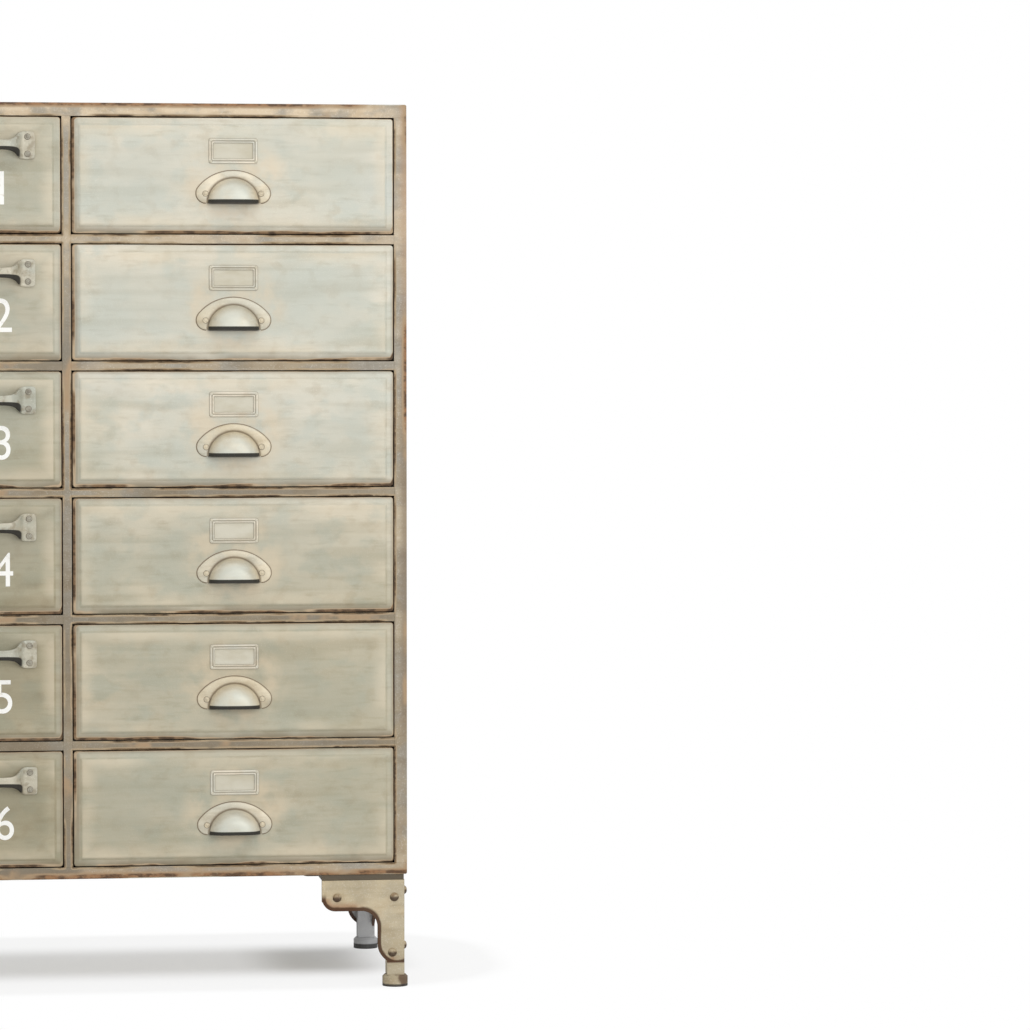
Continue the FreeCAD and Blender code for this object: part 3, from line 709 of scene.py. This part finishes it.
# The flange's edge: distance in from its outline, stand off the drawer's face, and mark
FLANGE = (
    (-dirt_and_shade_seam, 0.1 * mm, -1.2),
    (0.0, 0.2 * mm, -1.0),
    (0.0, 1.0 * mm, -0.95),
    (0.4 * mm, 1.6 * mm, -0.85),
    (1.1 * mm, plate, -0.7),
)
# The dome from its seam to its crown: share of its radius, share of its reach, and mark
DOME = (
    (1.07, 0.09, -0.2), (1.02, 0.07, -0.05), (1.0, 0.12, 0.05), (0.985, 0.24, 0.12),
    (0.95, 0.4, 0.2), (0.89, 0.57, 0.3), (0.8, 0.73, 0.42), (0.7, 0.85, 0.55),
    (0.58, 0.935, 0.7), (0.44, 0.98, 0.85), (0.25, 1.0, 0.95), (0.01, 1.0, 1.0),
)
INNER_DOME = ((0.01, 0.93), (0.5, 0.88), (0.78, 0.68), (0.9, 0.42), (0.955, 0.1), (0.955, 0.0))


def sweep(centre, radius, start, end, steps):
    """Points along an arc, from one angle to another in degrees."""
    return [
        (centre[0] + radius * math.cos(a), centre[1] + radius * math.sin(a))
        for a in (math.radians(start + (end - start) * step / steps) for step in range(steps + 1))
    ]


def cup_outline(inset):
    """Half circles on the ears, joined by the arch, from the lower right ear to the lower left."""
    meet = math.degrees(math.atan2(ear - arch_z, ear_x))
    right = sweep((ear_x, ear), ear - inset, -90, meet, 10)
    over = sweep((0, arch_z), arch - inset, meet, 180 - meet, 26)
    left = sweep((-ear_x, ear), ear - inset, 180 - meet, 270, 10)
    return right + over[1:-1] + left


def cup_pull(name, centre_x, bottom_z, finish, body):
    surface = face - field_stand
    count = len(cup_outline(0))

    def half_ring(radius):
        arc = [math.pi * step / (count - 1) for step in range(count)]
        return [(radius * math.cos(a), dome_stretch * radius * math.sin(a)) for a in arc]

    levels = [(cup_outline(inset), stand, mark) for inset, stand, mark in FLANGE]
    levels += [(half_ring(share * dome_radius), out * cup_reach, mark) for share, out, mark in DOME]
    lining = len(levels)
    levels += [(half_ring(share * dome_radius), out * cup_reach, 2.0) for share, out in INNER_DOME]
    points = [
        (centre_x + x, surface - stand, bottom_z + z)
        for ring, stand, mark in levels
        for x, z in ring
    ]
    marks = [mark for ring, stand, mark in levels for spot in ring]
    faces = [
        (low + spot, low + spot + 1, low + count + spot + 1, low + count + spot)
        for low in (level * count for level in range(len(levels) - 1) if level != lining - 1)
        for spot in range(count - 1)
    ]
    # The dome's lower edge is one sheet thick
    brim = [level * count for level in range(len(FLANGE) + 2, len(levels))]
    faces += [tuple(spot + end for spot in brim) for end in (0, count - 1)]
    return fitted_mesh(name, points, faces, finish, body, marks, 50)


def disc_paint(name, face_tone, worn_tone):
    coat = Finish(name)
    rim = coat.fade(coat.mark(), 0.82, 0.95)
    paint = coat.blend(card(*face_tone), card(*worn_tone), coat.drift(200, 0.45, 0.65))
    paint = coat.blend(paint, card(92, 78, 58), coat.times(rim, 0.85))
    return coat.cure(paint, 0.45, 0.3, metallic=0.1)


cup_finish = cup_paint()
disc_finish = disc_paint("cup_rivet_paint", (208, 196, 170), (190, 178, 154))
forwards = (0, -1, 0)
cup_rivet = (4.1 * mm, 1.1 * mm)
cup_rivet_x = 37.6 * mm
cup_rivet_z = 12.6 * mm
cup_rivet_ring = 0.62
for column in ("left", "right"):
    for row in ROWS:
        low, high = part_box(f"drawer_front_{column}_{row}")
        centre_x = (low.x + high.x) / 2
        bottom_z = high.z + drawer_gap - cup_drop
        body = f"drawer_{column}_{row}"
        pull = cup_pull(f"cup_pull_{column}_{row}", centre_x, bottom_z, cup_finish, body)
        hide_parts(f"drawer_front_{column}_{row}")
        for side, way in (("left", -1), ("right", 1)):
            rivet_x = centre_x + way * cup_rivet_x
            seat = (rivet_x, face - field_stand - plate, bottom_z + cup_rivet_z)
            name = f"cup_rivet_{side}_{column}_{row}"
            head = (*cup_rivet, disc_finish, body, "drawer_fronts", cup_rivet_ring)
            dome_head(name, seat, forwards, *head)


# The bar pulls on the narrow drawers are cast straps, bent out from a tall foot and back to
# another. They are painted with the drawers, with painted shade nearly black underneath, and two
# dull screws in each foot.
def bar_paint():
    coat = Finish("bar_paint")
    # The underside is painted nearly black as painted shade
    below = coat.fade(coat.mark(), 0.2, 0.6)
    paint = coat.clouds(card(190, 184, 165), card(176, 178, 165), card(208, 200, 181))
    grubby = coat.times(coat.drift(110, 0.5, 0.68, shift=14), 0.55)
    paint = coat.blend(paint, card(134, 120, 96), grubby)
    paint = coat.blend(paint, card(28, 25, 20), coat.times(below, 0.96))
    return coat.cure(paint, coat.spread(below, 0.45, 0.85), 0.35, metallic=0.1)


bar_drop = 40 * mm
bar_finish = bar_paint()
screw_finish = disc_paint("screw_paint", (158, 153, 138), (132, 126, 112))
bar_reach = face - field_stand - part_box("drawer_front_middle_1")[0].y
bar_end = 59 * mm
strap = 4 * mm
upright = bar_end - 23 * mm + strap
# Half of the strap's middle line: place across the drawer, stand off its face, half height,
# and how much painted shade lies below
HALF_BAR = [
    (bar_end, 2 * mm, 15 * mm, 0),
    (bar_end - 0.8 * mm, 2 * mm, 17.5 * mm, 0),
    (bar_end - 3.5 * mm, 2 * mm, 19 * mm, 0),
    (upright + 6 * mm, 2 * mm, 19 * mm, 0),
    (upright + 1.5 * mm, 2.4 * mm, 18.6 * mm, 0),
    (upright - 2 * mm, 5.5 * mm, 17 * mm, 0.3),
    (upright - 4 * mm, 10 * mm, 14 * mm, 0.6),
    (upright - 7 * mm, 15.5 * mm, 10.8 * mm, 1),
    (upright - 12 * mm, bar_reach - 4 * mm, 8.2 * mm, 1),
    (upright - 18 * mm, bar_reach - 2.3 * mm, 6.9 * mm, 1),
    (0.3 * upright, bar_reach - 2 * mm, 6.5 * mm, 1),
]
# Round the strap: out or in across its thickness, up or down its height, and whether it lies
# below and takes the painted shade
STRAP_SECTION = (
    (-1, 0, 0), (-1, 0.9, 0), (-0.8, 1, 0), (0.8, 1, 0), (1, 0.9, 0), (1, 0, 0.5),
    (1, -0.9, 1), (0.8, -1, 1), (-0.8, -1, 1), (-1, -0.9, 1), (-1, -0.45, 1), (-1, -0.15, 0),
)
screw = (4.2 * mm, 1.2 * mm)
screw_x = 49 * mm
screw_lift = 11.5 * mm
screw_ring = 0.45
for row in ROWS:
    low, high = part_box(f"drawer_front_middle_{row}")
    centre = Vector(((low.x + high.x) / 2, face - field_stand, high.z + drawer_gap - bar_drop))
    line = HALF_BAR + [(-x, stand, half, dark) for x, stand, half, dark in reversed(HALF_BAR)]
    rings = []
    for spot, (x, stand, half, dark) in enumerate(line):
        before = line[max(spot - 1, 0)]
        after = line[min(spot + 1, len(line) - 1)]
        run = Vector((after[0] - before[0], before[1] - after[1])).normalized() * (strap / 2)
        rings.append([
            centre + Vector((x + out * run.y, min(-stand - out * run.x, 0.0), tall * half))
            for out, tall, below in STRAP_SECTION
        ])
    marks = [dark * below for x, stand, half, dark in line for out, tall, below in STRAP_SECTION]
    body = f"drawer_middle_{row}"
    name = f"bar_pull_{row}"
    pull = body_skin(name, rings, bar_finish, body, marks, ends=(True, True))
    rounding = pull.modifiers.new("rounded", "SUBSURF")
    rounding.levels = rounding.render_levels = 2
    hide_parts(f"drawer_front_middle_{row}")
    for side, way in (("left", -1), ("right", 1)):
        for place, lift in (("upper", screw_lift), ("lower", -screw_lift)):
            seat = centre + Vector((way * screw_x, -strap, lift))
            name = f"bar_screw_{side}_{place}_{row}"
            head = (*screw, screw_finish, body, "drawer_fronts", screw_ring)
            dome_head(name, seat, forwards, *head)


# Each wide drawer has a label holder over its pull: a pressed frame with a raised bead round
# the window, pinned at its corners, and a card slid in behind it.
def holder_paint():
    coat = Finish("holder_paint")
    inset = coat.mark()
    paint = coat.clouds(card(222, 214, 196), card(206, 206, 194), card(232, 222, 202))
    # Dirt and painted shade darken the groove, the outer edge and the window's edge
    groove = coat.times(coat.fade(inset, 1.8 * mm, 2.6 * mm), coat.fade(inset, 4.2 * mm, 3.4 * mm))
    outside = coat.fade(inset, 0.1 * mm, -0.2 * mm)
    window = coat.fade(inset, 5.4 * mm, 5.95 * mm)
    dirt_and_shade = coat.most(coat.times(coat.most(groove, outside), 0.6), coat.times(window, 0.92))
    paint = coat.blend(paint, card(122, 110, 88), dirt_and_shade)
    return coat.cure(paint, 0.45, 0.25, metallic=0.1)


def card_stock():
    coat = Finish("card_stock")
    fading = coat.drift(60, 0.35, 0.7, (0.4, 1, 1))
    stock = coat.blend(card(208, 203, 186), card(196, 189, 168), fading)
    return coat.cure(stock, 0.8, 0.2)


label_rim = 6 * mm
holder_corner = 2.6 * mm
window_corner = 0.9 * mm
card_inset = 3.5 * mm
card_corner = 0.8 * mm
pin = (2.1 * mm, 1.1 * mm)
pin_inset = 2.2 * mm
pin_stand = 1.4 * mm
holder_finish = holder_paint()
card_finish = card_stock()
# Distance in from the holder's edge, and how far it stands behind the drawer's face there
HOLDER = (
    (-0.8 * mm, -0.1 * mm),
    (0.0, -0.2 * mm),
    (0.0, -1.2 * mm),
    (0.4 * mm, -1.7 * mm),
    (1.6 * mm, -1.9 * mm),
    (2.4 * mm, -1.4 * mm),
    (3.4 * mm, -1.3 * mm),
    (4.0 * mm, -2.2 * mm),
    (4.8 * mm, -2.6 * mm),
    (5.5 * mm, -2.3 * mm),
    (label_rim, -1.6 * mm),
    (label_rim, -0.9 * mm),
)
CARD = ((card_inset, -0.3 * mm), (card_inset, -0.8 * mm), (5 * mm, -0.9 * mm))
for column in ("left", "right"):
    for row in ROWS:
        low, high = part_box(f"label_holder_{column}_{row}")
        middle = (low + high) / 2
        size = high - low
        body = f"drawer_{column}_{row}"
        rings = pressed_rings(low, high, high.y, HOLDER, holder_corner, window_corner)
        marks = [inset for (inset, depth), ring in zip(HOLDER, rings) for point in ring]
        name = f"label_frame_{column}_{row}"
        pinned = body_skin(name, rings, holder_finish, body, marks, (False, False))
        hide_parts(f"label_holder_{column}_{row}")
        sheet = pressed_rings(low, high, high.y, CARD, card_corner, card_corner)
        body_skin(f"label_card_{column}_{row}", sheet, card_finish, body)
        for number, (east, north) in enumerate(((-1, -1), (1, -1), (1, 1), (-1, 1)), start=1):
            seat = (
                middle.x + east * (size.x / 2 - pin_inset),
                high.y - pin_stand,
                middle.z + north * (size.z / 2 - pin_inset),
            )
            name = f"label_pin_{number}_{column}_{row}"
            dome_head(name, seat, forwards, *pin, card_finish, body, "drawer_fronts")


# The narrow drawers are numbered from the top, 01 to 06. The figures are painted straight on
# the pressed fronts through a stencil, in white that has worn thin.
def number_paint():
    coat = Finish("number_paint")
    paint = coat.blend(card(248, 247, 242), card(214, 208, 194), coat.drift(120, 0.55, 0.75))
    return coat.cure(paint, 0.6, 0.3)


number_finish = number_paint()
number_height = 47 * mm
number_rise = 38 * mm
number_share = 0.72
number_width = 0.9
paint_stand = 0.1 * mm
paint_half = 0.06 * mm
for row in ROWS:
    low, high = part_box(f"drawer_front_middle_{row}")
    figure = bpy.data.curves.new(f"number_{row}", "FONT")
    figure.body = f"0{row}"
    figure.align_x = "CENTER"
    figure.size = number_height / number_share
    figure.extrude = paint_half
    figure.materials.append(number_finish)
    painted = bpy.data.objects.new(f"painted_number_{row}", figure)
    bpy.context.scene.collection.objects.link(painted)
    centre_x = (low.x + high.x) / 2
    spot = Matrix.Translation((centre_x, face - field_stand - paint_stand, low.z + number_rise))
    standing = Matrix.Rotation(math.radians(90), 4, "X")
    painted.matrix_world = spot @ standing @ Matrix.Diagonal((number_width, 1, 1, 1))
    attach(painted, f"drawer_middle_{row}")


# The studio: a pale floor that runs out to white a little way round the cabinet, a broad soft
# light in front, a smaller one overhead, and a long lens a good way off.
def studio_floor():
    coat = Finish("studio_floor")
    out = coat.work("ABSOLUTE", coat.along("X"))
    back = coat.work("ABSOLUTE", coat.less(coat.along("Y"), shadow_middle))
    away = coat.slant(
        coat.most(coat.less(out, shadow_half_width), 0.0),
        coat.most(coat.less(back, shadow_half_depth), 0.0),
    )
    paper = coat.blend(card(246, 246, 245), card(242, 242, 242), coat.drift(2, 0.3, 0.7))
    coat.cure(paper, 0.9, 0.05)

    # To the lens it is mixed with white: less under the middle of the cabinet, least of all
    # under its sides, and wholly a little way out
    core = coat.spread(coat.fade(out, 0.34, 0.44), 0.4, 0.12)
    lit = coat.spread(coat.fade(away, 0.0, 0.14), core, 0.84)
    lit = coat.most(lit, coat.fade(away, 0.08, 0.27))
    seen = coat.add("LightPath", {}, output="Is Camera Ray")
    white = coat.add("Emission", {"Color": (1, 1, 1, 1), "Strength": 1.0})
    mixed = coat.add("MixShader", {0: coat.times(seen, lit), 1: coat.shader.outputs[0], 2: white})
    coat.feed(coat.nodes["Material Output"].inputs["Surface"], mixed)
    return coat.material


shadow_middle = 0.09
shadow_half_width = cabinet_high.x - 0.08
shadow_half_depth = 0.06
floor_reach = 14.0
floor_mesh = bpy.data.meshes.new("floor")
corners = [(x * floor_reach, y * floor_reach, 0) for x, y in ((-1, -1), (1, -1), (1, 1), (-1, 1))]
floor_mesh.from_pydata(corners, [], [(0, 1, 2, 3)])
floor_mesh.materials.append(studio_floor())
floor = bpy.data.objects.new("floor", floor_mesh)
bpy.context.scene.collection.objects.link(floor)

# The air is white to the lens and in reflections, and lights the pieces more dimly
world = bpy.data.worlds.new("studio_air")
world.use_nodes = True
air = world.node_tree
paths = air.nodes.new("ShaderNodeLightPath")
clear = paths.outputs["Is Camera Ray"]
for ray in ("Is Glossy Ray", "Is Transmission Ray"):
    either = air.nodes.new("ShaderNodeMath")
    either.operation = "MAXIMUM"
    air.links.new(clear, either.inputs[0])
    air.links.new(paths.outputs[ray], either.inputs[1])
    clear = either.outputs[0]
level = air.nodes.new("ShaderNodeMapRange")
air.links.new(clear, level.inputs["Value"])
air_light = 0.6
air_seen = 1.0
level.inputs["To Min"].default_value = air_light
level.inputs["To Max"].default_value = air_seen
backdrop = air.nodes["Background"]
air.links.new(level.outputs[0], backdrop.inputs["Strength"])
backdrop.inputs["Color"].default_value = (1, 1, 1, 1)
bpy.context.scene.world = world


def soft_light(name, place, aim, width, height, power):
    lamp = bpy.data.lights.new(name, "AREA")
    lamp.shape = "RECTANGLE"
    lamp.size = width
    lamp.size_y = height
    lamp.energy = power
    lit = bpy.data.objects.new(name, lamp)
    bpy.context.scene.collection.objects.link(lit)
    lit.location = place
    lit.rotation_euler = (Vector(aim) - Vector(place)).to_track_quat("-Z", "Y").to_euler()


lit_spot = (0.1, 0.0, 0.6)
soft_light("front_light", (1.9, -5.0, 1.8), lit_spot, width=3.0, height=2.4, power=88)
soft_light("overhead_light", (0.1, -1.9, 3.3), lit_spot, width=3.0, height=1.2, power=18)

# The camera stands before the middle column, turned a little to the right and down
down = 2.2314
right = 7.8083
lens = bpy.data.cameras.new("camera")
lens.sensor_width = 36
lens.lens = 159.47
lens.clip_end = 100
camera = bpy.data.objects.new("camera", lens)
bpy.context.scene.collection.objects.link(camera)
camera.location = (-0.1361, -6.3564, 0.8853)
camera.rotation_euler = (math.radians(90 - down), 0, math.radians(-right))
bpy.context.scene.camera = camera
bpy.context.scene.view_settings.view_transform = "Standard"
